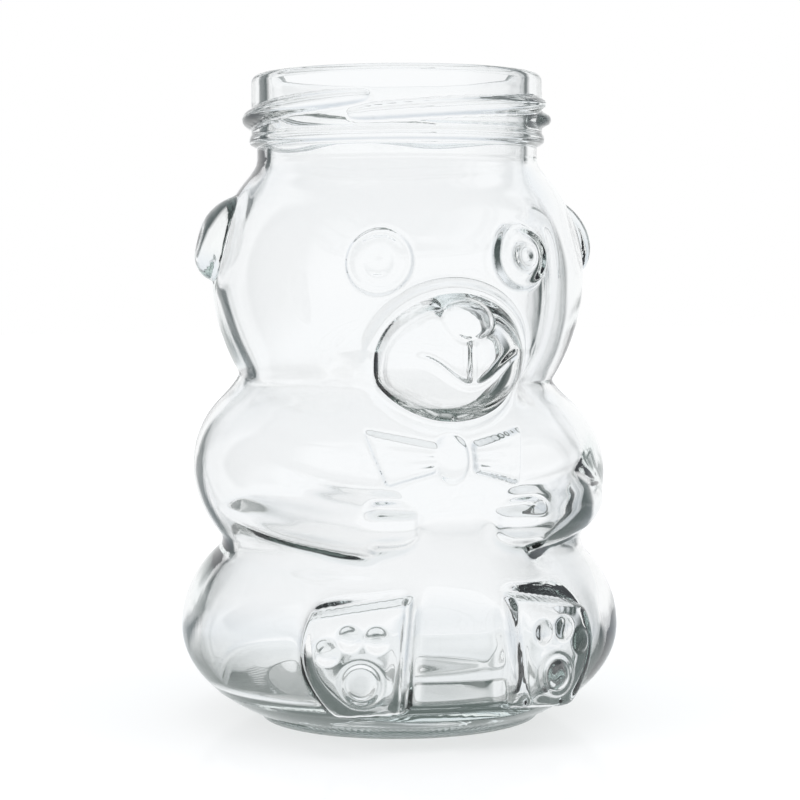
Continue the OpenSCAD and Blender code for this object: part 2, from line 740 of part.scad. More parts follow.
// Paw pads: a large pad with a rim, and three toe pads over it
module paw_pads() {
    pad_z = sole_z - pad_down;
    inner_share = 0.7;
    rim_half = 0.16;
    color(line_glass) {
        pad(pad_t, pad_z, pad_r,
            function (d) pad_lift * (0.5 * ridge((norm(d) - 0.84) / rim_half) + dome(norm(d) / inner_share)),
            function (u, v) disc(u, v), 6);
        for (i = [-1:1])
            let (a = toe_lean + toe_step * i)
                pad(pad_t + toe_reach * sin(a), pad_z + toe_reach * cos(a), toe_r,
                    function (d) pad_lift * dome(norm(d)), function (u, v) dome_disc(u, v), 4);
    }
}

module left_paw_pads() {
    paw_pads();
}

module right_paw_pads() {
    other_side() paw_pads();
}

finish();
thread_lugs();
head_shell();
torso_shell();
lap_shell();
base();
belly();
face();
left_ear();
right_ear();
left_eye();
right_eye();
muzzle();
nose();
mouth();
bow_tie();
left_arm();
right_arm();
left_foot();
right_foot();
left_paw_pads();
right_paw_pads();
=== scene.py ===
# %% [markdown]
# # Honey bear bottle
# A honey jar of clear glass in the shape of a sitting bear, seen from the front and a little
# from the bear's right. The real jar is one moulding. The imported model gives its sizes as
# separate solids. Glass only looks right when light meets one outer and one inner surface, so
# the jar is drawn here as one closed mesh that stands for all of them.

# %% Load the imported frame
import math

import bpy
import numpy as np
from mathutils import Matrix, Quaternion, Vector


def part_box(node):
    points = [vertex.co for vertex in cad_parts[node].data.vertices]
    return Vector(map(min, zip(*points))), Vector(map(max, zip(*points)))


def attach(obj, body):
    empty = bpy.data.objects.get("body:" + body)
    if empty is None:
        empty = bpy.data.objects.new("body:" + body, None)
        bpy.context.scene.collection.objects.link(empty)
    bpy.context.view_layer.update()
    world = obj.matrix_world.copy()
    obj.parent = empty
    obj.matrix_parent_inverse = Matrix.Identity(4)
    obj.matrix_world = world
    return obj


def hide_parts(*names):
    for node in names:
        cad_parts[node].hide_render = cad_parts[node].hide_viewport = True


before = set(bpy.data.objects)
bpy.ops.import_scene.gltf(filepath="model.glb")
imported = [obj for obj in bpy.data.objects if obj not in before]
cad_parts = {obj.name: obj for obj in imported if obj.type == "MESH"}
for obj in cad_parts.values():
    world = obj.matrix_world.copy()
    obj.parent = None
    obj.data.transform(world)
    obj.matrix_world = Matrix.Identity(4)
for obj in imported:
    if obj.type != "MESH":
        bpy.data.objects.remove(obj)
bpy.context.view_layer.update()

# %% [markdown]
# ## Sizes
# All lengths in this part are millimetres, as on a drawing of the jar, and become metres when
# the mesh is made. Angles go round the jar from the bear's nose towards its own left side.
# What the frame knows is read from it: the largest radii, and where the finish starts.

# %% Sizes from the frame
MM = 0.001


def low_mm(node):
    """Lowest corner of a CAD node, in mm."""
    return [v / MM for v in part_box(node)[0]]


def high_mm(node):
    """Highest corner of a CAD node, in mm."""
    return [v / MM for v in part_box(node)[1]]


rim_z = high_mm("finish")[2]
finish_z = low_mm("finish")[2]
lap_r = high_mm("lap_shell")[0]
torso_r = high_mm("torso_shell")[0]
head_r = high_mm("head_shell")[0]
print("rim", round(rim_z, 1), "finish", round(finish_z, 1), "radii", round(lap_r, 1), round(head_r, 1))

# %% Sizes of the turned body
lap_z, lap_arc = 0.1668 * finish_z, 17.2
heel_in, heel_power = 18.2, 0.62
torso_z, torso_low_arc, torso_high_arc = 0.4524 * finish_z, 15.6, 15.6
head_z, head_low_arc = 0.8032 * finish_z, 33.4
neck_r, neck_in, neck_blend, crown_dip = 23.9, 0.25, 2.0, 0.8
waist_blend, throat_blend = 5.8, 6.2
foot_r = lap_r - heel_in

# %% [markdown]
# ## Small functions for round forms
# A moulded jar has no sharp corner: lobes run into each other, and raised forms end in round
# edges. So the helpers below are a soft maximum, a soft step, a dome, a plateau and a narrow
# ridge. They take whole arrays, which keeps a fine mesh quick to make.

# %% Shapes of one variable


def soft_max(a, b, k):
    """The larger of two values, with a soft change over the width k."""
    h = np.maximum(k - np.abs(a - b), 0) / k
    return np.maximum(a, b) + h * h * k / 4


def fade(x, near, far):
    """1 up to near, 0 from far, with a soft change between them."""
    s = np.clip((far - x) / (far - near), 0, 1)
    return s * s * (3 - 2 * s)


def dome(x):
    """Height of a round dome at x from -1 to 1, and 0 beyond."""
    return np.sqrt(np.maximum(1 - x * x, 0))


def plateau(x, power=8):
    """Height of a flat top with round edges at x from -1 to 1, and 0 beyond."""
    return np.maximum(1 - np.abs(x) ** power, 0) ** (1 / power)


def ridge(x):
    """Height of a narrow ridge at x from -1 to 1, and 0 beyond."""
    return np.cos(np.pi / 2 * np.clip(x, -1, 1)) ** 2


def sideways(a, r):
    """How far a point at angle a and radius r lies to the bear's left."""
    return r * np.sin(np.radians(a))


# %% [markdown]
# ## The turned body
# Head, torso and lap are three lobes of one turned wall. Each is a pair of arcs, and a soft
# maximum joins them in the creases of the waist and the throat. The bear sits a little slumped:
# the torso's lobe lies lower in front than at the back.

# %% Radius of the turned body
TORSO_TILT = 0.8
TILT_FRONT, TILT_BACK = 75.0, 105.0


def arc_through(drop, rise):
    """Radius of the arc that falls away by drop over the height rise."""
    return (drop * drop + rise * rise) / (2 * drop)


crown_arc = arc_through(head_r - neck_r + crown_dip, finish_z - head_z)


def lobe(z, r, mid, low, high):
    """Radius of one round lobe at height z."""
    q = np.where(z < mid, low, high)
    d = np.abs(z - mid)
    inside = r - q + np.sqrt(np.maximum(q * q - d * d, 0))
    return np.where(d < q, inside, r - q - 2 * (d - q))


def lap_lobe(z):
    """Radius of the lap at height z, with the heel under it."""
    heel = foot_r + heel_in * np.maximum(1 - ((lap_z - z) / lap_z) ** 2, 0) ** heel_power
    return np.where(z < lap_z, heel, lobe(z, lap_r, lap_z, lap_arc, lap_arc))


def body_r(a, z):
    """Outer radius of the turned body at angle a and height z."""
    tilt = TORSO_TILT * (2 * fade(np.abs(a), TILT_FRONT, TILT_BACK) - 1)
    torso = lobe(z + tilt, torso_r, torso_z, torso_low_arc, torso_high_arc)
    head = lobe(z, head_r, head_z, head_low_arc, crown_arc)
    lobes = soft_max(soft_max(lap_lobe(z), torso, waist_blend), head, throat_blend)
    return soft_max(lobes, neck_r - neck_in, neck_blend)


print("radius at half height", body_r(0, np.array([finish_z / 2])).round(1))

# %% [markdown]
# ## Belly and face
# In front the waist is filled by the belly, and the head is fuller than a turned one. Both
# fade out towards the sides, so no line shows where they end.

# %% Radius of the front
belly_in, belly_z, belly_arc = 0.3, lap_z + 6.4, 110.0
belly_flat_a, belly_side_a = 9.0, 40.0
face_out, face_z, face_flat_h, face_fade_h = 2.3, head_z - 4.1, 8.0, 15.0
face_flat_a, face_side_a = 24.0, 42.0


def front_r(a, z):
    """Radius of the body with the belly and the face on it, at angle a and height z."""
    body = body_r(a, z)
    belly = lap_r - belly_in - (z - belly_z) ** 2 / (2 * belly_arc)
    filled = np.maximum(belly - body, 0) * fade(np.abs(a), belly_flat_a, belly_side_a)
    face = face_out * fade(np.abs(z - face_z), face_flat_h, face_fade_h)
    return body + filled + face * fade(np.abs(a), face_flat_a, face_side_a)


# %% [markdown]
# ## Muzzle
# The muzzle is an oval ball that stands far out of the face and is hollow, as the mould's
# blown part follows it. Along each line from the jar's axis the ball has one outer point, so
# it can be given as a radius too. A little soft maximum makes the fillet at its root.

# %% Radius of the muzzle
muzzle_half, muzzle_power, muzzle_taper = (12.1, 14.0, 10.8), 2.8, 0.08
muzzle_z, muzzle_y = head_z - 12.9, head_r + 10.7 - muzzle_half[1]
hollow_half, hollow_down = (9.9, 11.9, 8.7), 0.4
fillet_w, fillet_h = 2.6, 1.8
skirt = 7.0
FAR_IN = -50.0


def ball_r(a, z, half, middle_z):
    """Radius at which a form round the muzzle's middle is left, and FAR_IN beside it."""
    w, d, h = half
    sin_a, cos_a = np.sin(np.radians(a)), np.cos(np.radians(a))
    ahead = np.abs(a) < 60
    level = ((z - middle_z) / h) ** 2

    def inside(r):
        """True where the point at radius r is in the form."""
        out = (r * cos_a - muzzle_y) / d
        beside = np.sqrt((r * sin_a / w) ** 2 + level) / (1 - muzzle_taper * out)
        return beside**muzzle_power + np.maximum(out, 0) ** muzzle_power < 1

    low = np.broadcast_to((muzzle_y - skirt) / np.where(ahead, cos_a, 1), level.shape[:1] + a.shape[1:])
    high, start = low + 2 * d + skirt, inside(low) & ahead
    for _ in range(15):  # halves the gap until it is far below a grid step
        middle = (low + high) / 2
        hit = inside(middle) & (middle * cos_a - muzzle_y < d)
        low, high = np.where(hit, middle, low), np.where(hit, high, middle)
    return np.where(start, low, FAR_IN)


def muzzle_root_h(a, z, r):
    """Height of the fillet round the root of the muzzle, over the face."""
    w, _, h = muzzle_half
    across = np.hypot(sideways(a, r) / w, (z - muzzle_z) / h)
    share = np.clip(1 - (across - 1) * (w + h) / 2 / fillet_w, 0, 1)
    return fillet_h * share**2 * (np.abs(a) < 60)


# %% [markdown]
# ## Nose, mouth and eyes
# These are low reliefs cut into the mould. A relief is given as its height over the form that
# carries it: a knob for the nose, a raised line for the smile, and a dished disc with a round
# pupil for each eye. The whole face is turned a little, so the bear's left eye is the higher.

# %% Reliefs of the face
FACE_TURN, FACE_SIDE = 0.036, 0.7
nose_z, nose_size, nose_lift = muzzle_z + 5.9, (7.6, 6.6), 2.4
mouth_w, mouth_z, smile_h = 16.6, muzzle_z - 4.2, 4.5
line_w, line_lift = 1.3, 0.85
left_eye_a, right_eye_a, eye_z, eye_r = 21.0, 19.5, head_z + 2.3, 5.5
eye_lift, eye_dish, pupil_r, pupil_lift = 1.4, 0.5, 2.3, 0.9
dimple_r, dimple_d = 1.2, 0.35


def nose_h(x, z):
    """Height of the nose over the muzzle."""
    d = np.hypot(2 * x / nose_size[0], 2 * (z - nose_z) / nose_size[1])
    return nose_lift * dome(d)


def mouth_h(x, z):
    """Height of the mouth's line, with the short line up to the nose."""
    t = np.clip(2 * x / mouth_w, -1, 1)
    z_line = mouth_z + smile_h * (1 - np.cos(np.pi * t)) / 2
    slope = smile_h * np.pi / mouth_w * np.sin(np.pi * t)
    across = (z - z_line) / np.sqrt(1 + slope**2)
    smile = dome(across * 2 / line_w) * dome(t**5)
    between = (z > mouth_z) & (z < nose_z - nose_size[1] / 2)
    return line_lift * np.maximum(smile, dome(x * 2 / line_w) * between)


def eye_h(a, z, middle_a):
    """Height of the eye at the angle middle_a."""
    across = np.radians(a - middle_a) * (head_r + face_out)
    d = np.hypot(across, z - eye_z)
    rim = eye_r * 7 / 8
    disc = (eye_lift - eye_dish * fade(d, rim - 1.4, rim)) * fade(d, rim, eye_r)
    return disc + pupil_lift * dome(d / pupil_r) - dimple_d * ridge(d / dimple_r)


# %% [markdown]
# ## Ears
# The ears sit at the sides of the head. Seen from the front they are thick round lobes with a
# shallow dish in them.

# %% Ears
ear_a, ear_z, ear_size, ear_lift = 94.0, head_z + 6.1, (15.0, 14.0), 3.7
ear_dish, ear_dish_r = 0.25, 0.6


def ear_h(a, z):
    """Height of the bear's left ear over the head."""
    across = np.radians(a - ear_a) * body_r(a, z)
    d = np.hypot(2 * across / ear_size[0], 2 * (z - ear_z) / ear_size[1])
    bulge = dome(d) - ear_dish * ridge(d / ear_dish_r)
    return ear_lift * np.maximum(bulge, 0)


# %% [markdown]
# ## Bow tie
# Two wings that widen outwards and a knot, all flat on the chest, with faint folds that run
# from the knot into the wings. The bear's right wing is a little longer at its top corner.

# %% Bow tie
bow_z, bow_low_a = torso_z + 4.0, 17.5
bow_top_right_a, bow_top_left_a = 24.0, 20.5
bow_h, bow_waist, bow_lift = 8.5, 4.3, 1.3
knot_a, knot_w, knot_h, knot_lift, knot_gap = -0.8, 5.8, 7.8, 1.7, 0.15
fold_depth = 0.25


def bow_tie_h(a, z):
    """Height of the bow tie over the chest."""
    r = body_r(a, z)
    root_a = np.degrees((knot_w / 2 + knot_gap) / r)
    up = np.clip(2 * (z - bow_z) / bow_h, -1.2, 1.2)
    top_a = np.where(a > 0, bow_top_left_a, bow_top_right_a)
    end_a = bow_low_a + (top_a - bow_low_a) * (up + 1) / 2
    s = (np.abs(a) - root_a) / (end_a - root_a)
    share = np.clip(s, 0, 1)
    t = (z - bow_z) / ((bow_waist + (bow_h - bow_waist) * share) / 2)
    inside = (s > 0) & (s < 1) & (np.abs(t) < 1)
    folds = fold_depth * np.cos(3 * np.pi * t) * (1 - share) ** 1.5
    wing = bow_lift * plateau(2 * share - 1) * plateau(t) + folds
    x = np.radians(a - knot_a) * r
    knot = knot_lift * dome(np.hypot(2 * x / knot_w, 2 * (z - bow_z) / knot_h))
    return np.maximum(np.where(inside, np.maximum(wing, 0), 0), knot)


# %% [markdown]
# ## Arms
# Each arm comes out of the torso at the shoulder, runs down round the belly and ends in a hand
# of three lobes: thumb, finger and the heel of the hand, with a gap on each side of the finger.

# %% Arms
shoulder_a, upper_arm_a = 78.0, 58.0
hand_a, thumb_back_a, hand_z, hand_h, hand_out = 10.0, 3.4, torso_z - 6.0, 10.6, 3.9
shoulder_up, shoulder_h = 9.4, 16.0
gap_d, gap_w, finger_h, finger_down = 3.0, 1.6, 6.9, 1.0
wrist_a, gap_root_a, tip_share = 26.0, 21.0, 0.6
upper_edge, lower_edge = 0.9, 0.4


def rounded_tip(back, power):
    """Narrows the arm to tip_share at the hand's very end: back is 0 there and 1 at the shoulder."""
    return tip_share + (1 - tip_share) * dome(np.maximum(1 - 2 * back, 0) ** power)


def arm_h(a, z, r):
    """Height of the bear's left arm over the front, whose radius is r."""
    tip = hand_a
    for _ in range(2):  # the tip's angle depends on the height across the arm
        back = np.clip((a - tip) / (shoulder_a - tip), 0, 1)
        half = (hand_h + (shoulder_h - hand_h) * back**2) / 2 * rounded_tip(back, 9)
        t = np.clip((z - hand_z - shoulder_up * back**2) / half, -1, 1)
        v = np.abs(np.arcsin(t)) * 2 / np.pi
        tip = hand_a + thumb_back_a * (1 - fade(v, 0.3, 0.55))
    end_a = upper_arm_a + (shoulder_a - upper_arm_a) * fade(z, hand_z, torso_z)
    out = torso_r + hand_out * rounded_tip(back, 4)
    edge = np.maximum(1 - t * t, 0) ** np.where(t > 0, upper_edge, lower_edge)
    lift = np.maximum(out - r, 0) * fade(a, wrist_a, end_a) * edge
    gap = gap_d * fade(a, gap_root_a - 2, gap_root_a + 2)
    gap = gap * ridge((np.abs(z - hand_z + finger_down) - finger_h / 2) / gap_w)
    inside = (a > tip) & (a < shoulder_a)
    return np.where(inside, np.maximum(lift - gap, 0) * dome((1 - 2 * back) ** 11), 0)


# %% [markdown]
# ## Feet and paw pads
# A foot is a block with a flat sole that is turned outwards and leans back a little. Its inner
# edge is crisp, and its outer edge runs out softly into the lap. On the sole are a large round
# pad with a rim and three toe pads.

# %% Feet
sole_a, sole_r, sole_z, sole_lean = 24.0, lap_r + 2.8, lap_z + 0.3, 0.07
sole_in_t, sole_in_slant = 7.4, 0.8
sole_out_t, sole_out_slant, sole_bulge = 10.0, 1.9, 3.1
sole_h, sole_drop, sole_taper = 18.0, 2.0, 0.1
outer_power, pad_margin = 2.6, 0.06
pad_r, pad_t, pad_z, pad_lift = 3.7, -0.6, sole_z - 4.0, 1.0
toe_r, toe_reach, toe_step, toe_lean = 1.9, 7.3, 34.0, 15.0


def pad_h(t, z):
    """Height of the paw pads at the distance t from the sole's middle line."""
    d = np.hypot(t - pad_t, z - pad_z) / pad_r
    height = 0.5 * ridge((d - 0.84) / 0.16) + dome(d / 0.7)
    for i in (-1, 0, 1):
        turn = math.radians(toe_lean + toe_step * i)
        toe_t, toe_z = pad_t + toe_reach * math.sin(turn), pad_z + toe_reach * math.cos(turn)
        height = np.maximum(height, dome(np.hypot(t - toe_t, z - toe_z) / toe_r))
    return pad_lift * height


def foot_h(a, z, r):
    """Height of the bear's left foot over the front, whose radius is r."""
    lean = np.radians(np.clip(a - sole_a, -60, 60))
    level = sole_r - sole_lean * (z - sole_z)
    t = level * np.tan(lean)
    s = 0.5
    for _ in range(4):  # the height across the sole depends on the place along it
        up = (z - sole_z + sole_drop * s) / (sole_h / 2 * (1 - sole_taper * s))
        up = np.clip(up, -1, 1)
        inner = -sole_in_t - sole_in_slant * up
        outer = sole_out_t + sole_out_slant * up - sole_bulge * up * up
        s = np.clip((t - inner) / (outer - inner), 0, 1)
    edge = np.where(s < 0.5, 1, plateau(2 * s - 1, outer_power))
    flank = np.where(lean < 0, -inner / np.sin(np.maximum(-lean, 0.01)), level + 9)
    block = np.maximum(np.minimum(level / np.cos(lean), flank) - r, 0)
    rise = edge * plateau(up)
    on_sole = (s > pad_margin) & (rise > 0.9)
    return np.where(np.abs(lean) < 1, block * rise + pad_h(t, z) * on_sole, 0)


# %% [markdown]
# ## Heel
# The heel carries a ring of fine bars, which every glass jar has where it touches the belt of
# the furnace line. They show as a row of small ticks near the floor.

# %% Knurled heel
knurl_low, knurl_high, knurl_count, knurl_lift = 0.5, 2.4, 150, 0.18


def knurl_h(a, z):
    """Height of the knurling on the heel."""
    bars = 0.5 + 0.5 * np.cos(np.radians(a) * knurl_count)
    middle, half = (knurl_low + knurl_high) / 2, (knurl_high - knurl_low) / 2
    return knurl_lift * bars * dome((z - middle) / half)


# %% [markdown]
# ## Finish
# The finish is what the glassmaker calls the part that takes the cap: a bead, a plain land, and
# four lugs that climb round it, each thin at both ends.

# %% Finish with its lugs
land_r, bead_r, bead_up, bead_w = 24.6, 25.0, 4.0, 2.0
bore_r, rim_round, neck_dip = 21.6, 1.2, 0.2
lug_count, lug_r, lug_w, lug_low, lug_rise = 4, 26.2, 2.6, 7.0, 2.9
lug_share, lug_start, lug_end_w = 1.09, -33.0, 0.3


def lug_h(a, z):
    """Height of the lugs over the land."""
    span = 360 / lug_count * lug_share
    height = np.zeros(np.broadcast(a, z).shape)
    for i in range(lug_count):
        start = lug_start + 360 / lug_count * i
        u = np.mod(a - start, 360) / span * 2 - 1
        c = np.clip(u, -1, 1)
        middle = finish_z + lug_low + lug_rise * (c + 1) / 2
        half = lug_w / 2 * (lug_end_w + (1 - lug_end_w) * dome(c**3))
        lug = dome((z - middle) / half) * dome(c**5) * (u < 1)
        height = np.maximum(height, (lug_r - land_r) * lug)
    return height


def finish_r(a, z):
    """Outer radius of the finish up to where its rim turns round."""
    bead_z = finish_z + bead_up
    root = np.where(z < bead_z, neck_r - neck_dip * (1 - fade(z, finish_z, finish_z + 1)), land_r)
    plain = root + (bead_r - root) * dome((z - bead_z) / (bead_w / 2))
    return plain + lug_h(a, z)


# %% [markdown]
# ## The outer and the inner surface
# Every form above is put together on a fine grid of angle and height. The outer surface is
# then smoothed a little, because molten glass rounds every edge. The inner surface isn't
# shaped by the mould at all: it follows the outer one softly, a wall's thickness further in,
# with slow waves, and those waves are what makes real glass look alive.

# %% The grid and its smoothing
STEP_A = 1 / 3
STEP_Z = 0.25
OUTER_SOFT = 0.26
GRID_LOW = 5.0

fine_a = np.arange(-180, 180, STEP_A)[None, :]


def soften(r, radius, soft):
    """Blurs a grid of radii by soft mm, round the jar and along its height."""

    def weights(step):
        reach = int(math.ceil(3 * soft / step))
        w = np.exp(-0.5 * (np.arange(-reach, reach + 1) * step / soft) ** 2)
        return range(-reach, reach + 1), w / w.sum()

    shifts, w = weights(math.radians(STEP_A) * radius)
    r = sum(k * np.roll(r, s, axis=1) for s, k in zip(shifts, w))
    shifts, w = weights(STEP_Z)
    padded = np.pad(r, ((len(w) // 2,) * 2, (0, 0)), mode="edge")
    rows = r.shape[0]
    return sum(k * padded[i : i + rows] for i, k in enumerate(w))


def both_sides(relief, *args):
    """A relief of the bear's left side, and the same on its right."""
    return np.maximum(relief(fine_a, *args), relief(-fine_a, *args))


# %% Outer surface of the body
body_z = np.arange(GRID_LOW, finish_z + STEP_Z / 2, STEP_Z)[:, None]


def outer_body(z):
    """Outer radii of the body, as the mould gives them."""
    front = front_r(fine_a, z)
    root = front + muzzle_root_h(fine_a, z, front)
    muzzle = soft_max(root, ball_r(fine_a, z, muzzle_half, muzzle_z), 1.0)
    ahead = np.abs(fine_a) < 60
    x = sideways(fine_a, muzzle) - FACE_SIDE
    turned = z - FACE_TURN * x
    face = (nose_h(x, turned) + mouth_h(x, turned)) * ahead
    turned = z - FACE_TURN * sideways(fine_a, front)
    eyes = eye_h(fine_a, turned, left_eye_a) + eye_h(-fine_a, turned, right_eye_a)
    eyes = eyes * fade(muzzle - front, 0.2, 1.0)
    relief = face + eyes + both_sides(ear_h, z) + bow_tie_h(fine_a, z)
    limbs = np.maximum(both_sides(arm_h, z, front), both_sides(foot_h, z, front))
    return muzzle + relief + limbs


outer = soften(outer_body(body_z), 34, OUTER_SOFT)
print("outer grid", outer.shape, "largest radius", outer.max().round(1))

# %% Inner surface of the body
WALL_LOW, WALL_HIGH = 2.2, 2.5
STEEPEST = 1.2
EAR_INSIDE, EAR_SOFT = 0.5, 1.2
BODY_SOFT, MUZZLE_SOFT = 1.0, 0.6
NOSE_INSIDE = 1.0
WAVE_MM = 0.12


def waves(a, z):
    """Slow uneven thickness of blown glass, in mm."""
    turn = np.radians(a)
    return WAVE_MM * (
        np.sin(2 * turn + z / 9.0)
        + np.sin(3 * turn - z / 6.5 + 1.3)
        + 0.7 * np.sin(5 * turn + z / 5.0 + 2.1)
        + 0.5 * np.sin(z / 3.6 + 4 * turn)
    )


def inner_body(z):
    """Inner radii of the plain body: a wall of even thickness, measured square to the surface."""
    front = front_r(fine_a, z)
    slope = np.clip(np.gradient(front, STEP_Z, axis=0), -STEEPEST, STEEPEST)
    wall = WALL_HIGH - (WALL_HIGH - WALL_LOW) * fade(z, torso_z, head_z)
    return front - wall * np.sqrt(1 + slope**2) + waves(fine_a, z)


def inner_limbs(z):
    """How far the hollow follows the arms and the feet."""
    front = front_r(fine_a, z)
    return np.maximum(both_sides(arm_h, z, front), both_sides(foot_h, z, front))


inner_ears = EAR_INSIDE * soften(both_sides(ear_h, body_z), 34, EAR_SOFT)
inner_plain = soften(inner_body(body_z) + inner_limbs(body_z), 32, BODY_SOFT) + inner_ears
hollow = ball_r(fine_a, body_z, hollow_half, muzzle_z - hollow_down)
hollow = hollow + NOSE_INSIDE * nose_h(sideways(fine_a, hollow) - FACE_SIDE, body_z) * (hollow > 0)
inner_fine = soften(soft_max(inner_plain, hollow, 2.0), 38, MUZZLE_SOFT)
print("thinnest wall", (outer - inner_fine).min().round(2))

# %% [markdown]
# ## One closed mesh
# The rows run from the middle of the underside out to the standing ring, up the heel and the
# body, over the rim, down inside, and to the middle of the cavity's floor. Columns are close
# together where the face and the paws are and further apart at the plain back.

# %% Columns and rows
all_a = fine_a[0]
index = np.arange(len(all_a))
near_front = np.abs(all_a) <= 52
near_ears = (np.abs(all_a) > 78) & (np.abs(all_a) < 110)
keep = near_front | (near_ears & (index % 2 == 0)) | (index % 3 == 0)
cols = index[keep]
angles = all_a[cols]


def ring(r, z):
    """One row of the mesh: radii and heights at every column."""
    return np.broadcast_to(r, angles.shape), np.broadcast_to(z, angles.shape)


# %% Rows of the base and the body
ring_in_r, push_up = foot_r - 3.0, 2.2
rows = [ring(ring_in_r * s, push_up * (1 - s * s)) for s in np.linspace(0.04, 1, 14)]
heel = GRID_LOW * np.linspace(0, 1, 26)[:-1] ** 2
rows += [ring(body_r(angles, z) + knurl_h(angles, z), z) for z in heel]
rows += [ring(outer[i, cols], body_z[i, 0]) for i in range(len(body_z) - 1)]

# %% Rows of the finish and the rim
finish_rows = np.arange(finish_z, rim_z - rim_round, 0.2)
soft_finish = soften(finish_r(fine_a, finish_rows[:, None]), 25, 0.2)
rows += [ring(soft_finish[i, cols], z) for i, z in enumerate(finish_rows)]
edge_z = rim_z - rim_round
quarter = np.linspace(0, 1, 9) * math.pi / 2
for q in quarter:
    rows.append(ring(land_r - rim_round * (1 - math.cos(q)), edge_z + rim_round * math.sin(q)))
for q in quarter:
    rows.append(ring(bore_r + rim_round * (1 - math.sin(q)), edge_z + rim_round * math.cos(q)))

# %% Rows of the cavity
floor_z, base_top, floor_r, floor_dome = 5.2, 8.0, 21.0, 0.5
inner_top = inner_fine[-1, cols]
for z in np.linspace(edge_z, finish_z, 16)[1:-1]:
    rows.append(ring(inner_top + (bore_r - inner_top) * (1 - fade(z, finish_z, finish_z + 6)), z))
corner_row = int(round((base_top - GRID_LOW) / STEP_Z))
rows += [ring(inner_fine[i, cols], body_z[i, 0]) for i in range(len(body_z) - 1, corner_row, -2)]
corner_r = inner_fine[corner_row, cols]
for q in np.linspace(0, 1, 18)[1:] * math.pi / 2:
    r = floor_r + (corner_r - floor_r) * math.cos(q)
    rows.append(ring(r, base_top - (base_top - floor_z) * math.sin(q)))
rows += [ring(floor_r * s, floor_z + floor_dome * (1 - s * s)) for s in np.linspace(1, 0.04, 18)[1:]]
print(len(rows), "rows of", len(angles), "columns")

# %% Make the jar


def closed_mesh(name, rows, low_z, high_z):
    """A closed mesh of rings, with a point at each end of the axis."""
    turn = np.radians(angles)
    r = np.array([row[0] for row in rows]) * MM
    z = np.array([row[1] for row in rows]) * MM
    grid = np.stack([r * np.sin(turn), -r * np.cos(turn), z], axis=-1).reshape(-1, 3)
    points = np.concatenate([grid, [[0, 0, low_z * MM], [0, 0, high_z * MM]]])
    n, m = len(angles), len(rows)
    i, j = np.meshgrid(np.arange(m - 1), np.arange(n), indexing="ij")
    here, right = i * n + j, i * n + (j + 1) % n
    quads = np.stack([here, right, right + n, here + n], axis=-1).reshape(-1, 4)
    column = np.arange(n)
    after = (column + 1) % n
    first = np.stack([np.full(n, m * n), after, column], axis=-1)
    last = np.stack([(m - 1) * n + column, (m - 1) * n + after, np.full(n, m * n + 1)], axis=-1)
    mesh = bpy.data.meshes.new(name)
    mesh.vertices.add(len(points))
    mesh.vertices.foreach_set("co", points.astype(np.float32).ravel())
    corners = np.concatenate([quads.ravel(), first.ravel(), last.ravel()])
    mesh.loops.add(len(corners))
    mesh.loops.foreach_set("vertex_index", corners.astype(np.int32))
    sizes = np.concatenate([np.full(len(quads), 4), np.full(2 * n, 3)])
    starts = np.concatenate([[0], np.cumsum(sizes)[:-1]])
    mesh.polygons.add(len(sizes))
    mesh.polygons.foreach_set("loop_start", starts.astype(np.int32))
    mesh.polygons.foreach_set("use_smooth", np.ones(len(sizes), bool))
    mesh.update(calc_edges=True)
    mesh.validate()
    piece = bpy.data.objects.new(name, mesh)
    bpy.context.scene.collection.objects.link(piece)
    return piece


jar = closed_mesh("bear_jar", rows, push_up, floor_z + floor_dome)
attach(jar, "root")
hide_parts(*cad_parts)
print("jar:", len(jar.data.polygons), "faces")

# %% [markdown]
# ## Materials
# One function turns the hex colours of a paint card into the linear numbers that Blender
# wants, and one adds a node with its settings and links.

# %% Helpers for materials


def linear(hex_colour):
    """An sRGB hex colour as linear RGBA."""
    parts = [int(hex_colour[i : i + 2], 16) / 255 for i in (1, 3, 5)]
    return [v / 12.92 if v <= 0.04045 else ((v + 0.055) / 1.055) ** 2.4 for v in parts] + [1.0]


def add(tree, kind, inputs=None, links=None, **settings):
    """Adds a node with its settings, its socket values and its links."""
    made = tree.nodes.new(kind)
    for key, value in settings.items():
        setattr(made, key, value)
    for key, value in (inputs or {}).items():
        made.inputs[key].default_value = value
    for key, source in (links or {}).items():
        tree.links.new(source, made.inputs[key])
    return made


def new_material(name):
    """An empty node material and its tree."""
    material = bpy.data.materials.new(name)
    material.use_nodes = True
    material.node_tree.nodes.clear()
    return material, material.node_tree


# %% [markdown]
# ### Soda-lime glass
# Jars are blown from soda-lime glass, with an IOR of 1.52. A trace of iron makes it green
# where light runs a long way through it, so the colour is not on the surface: it is an
# absorption inside. The skin carries a very faint ripple from the iron mould.

# %% Clear soda-lime glass
GLASS_IOR = 1.52
RIPPLE_MM = 9.0


